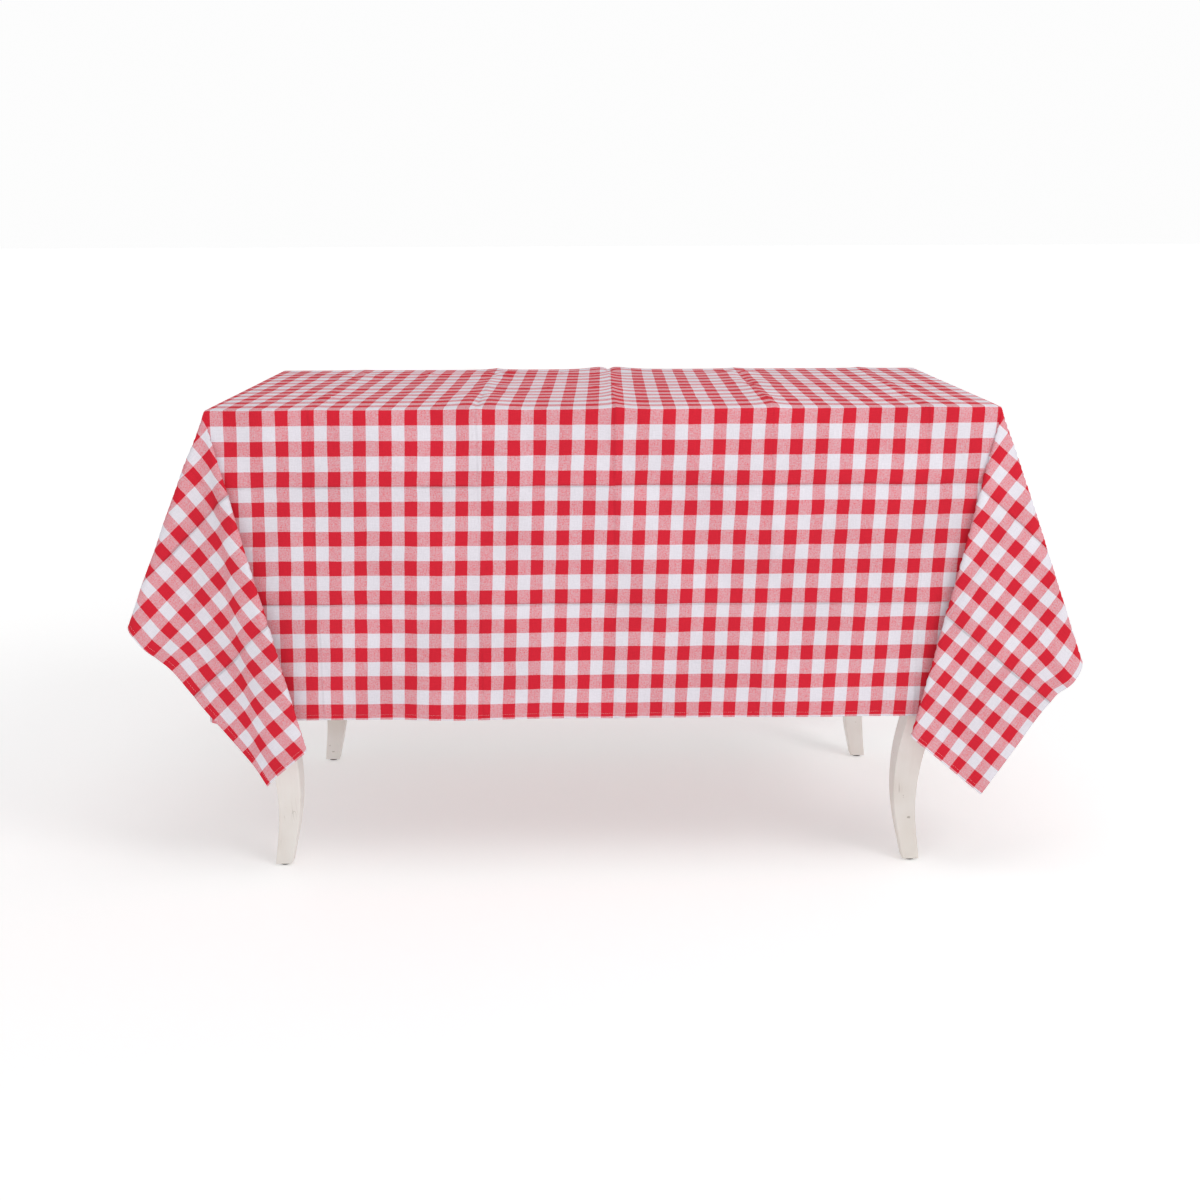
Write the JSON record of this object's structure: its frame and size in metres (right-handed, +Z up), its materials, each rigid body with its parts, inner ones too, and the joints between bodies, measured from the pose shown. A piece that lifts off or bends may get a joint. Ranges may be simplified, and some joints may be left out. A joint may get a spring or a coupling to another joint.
{
  "type": "tablecloth on a table",
  "caption": "Rectangular table with sabre legs, dressed with a red and white gingham tablecloth that hangs on all sides with pleated corners.",
  "frame": {"origin": "on the floor under the centre of the table", "axes": "+X along the table's length, -Y towards the front, +Z up"},
  "size_m": [1.4386, 0.6666, 0.7374],
  "materials": {
    "top_paint": "satin off-white paint on board",
    "leg_paint": "satin off-white paint, lightly worn",
    "bare_beech": "bare sawn beech",
    "zinc_steel": "zinc plated",
    "glide_plastic": "matte",
    "gingham": "woven cotton gingham, matte",
    "hem": "turned double hem of the same cotton",
    "thread": "white sewing thread"
  },
  "bodies": {
    "table": {"tabletop": "top_paint", "front_apron": "leg_paint", "back_apron": "leg_paint", "left_apron": "leg_paint", "right_apron": "leg_paint", "front_left_leg": "leg_paint", "front_right_leg": "leg_paint", "back_left_leg": "leg_paint", "back_right_leg": "leg_paint", "front_left_brace": "bare_beech", "front_right_brace": "bare_beech", "back_left_brace": "bare_beech", "back_right_brace": "bare_beech", "front_left_glide": "glide_plastic", "front_right_glide": "glide_plastic", "back_left_glide": "glide_plastic", "back_right_glide": "glide_plastic", "hanger_bolts": "zinc_steel", "hanger_washers": "zinc_steel", "hanger_nuts": "zinc_steel", "brace_screws": "zinc_steel", "top_brackets": "zinc_steel", "bracket_screws": "zinc_steel"},
    "tablecloth": {"cloth_top": "gingham", "cloth_front_drop": "gingham", "cloth_back_drop": "gingham", "cloth_left_drop": "gingham", "cloth_right_drop": "gingham", "cloth_front_left_fold": "gingham", "cloth_front_right_fold": "gingham", "cloth_back_left_fold": "gingham", "cloth_back_right_fold": "gingham", "front_hem": "hem", "back_hem": "hem", "left_hem": "hem", "right_hem": "hem", "hem_thread": "thread"}
  },
  "joints": [
    {"name": "cloth_lift", "type": "slide", "parent": "table", "child": "tablecloth", "axis": [0, 0, 1], "range_m": [0, 0.6]}
  ]
}
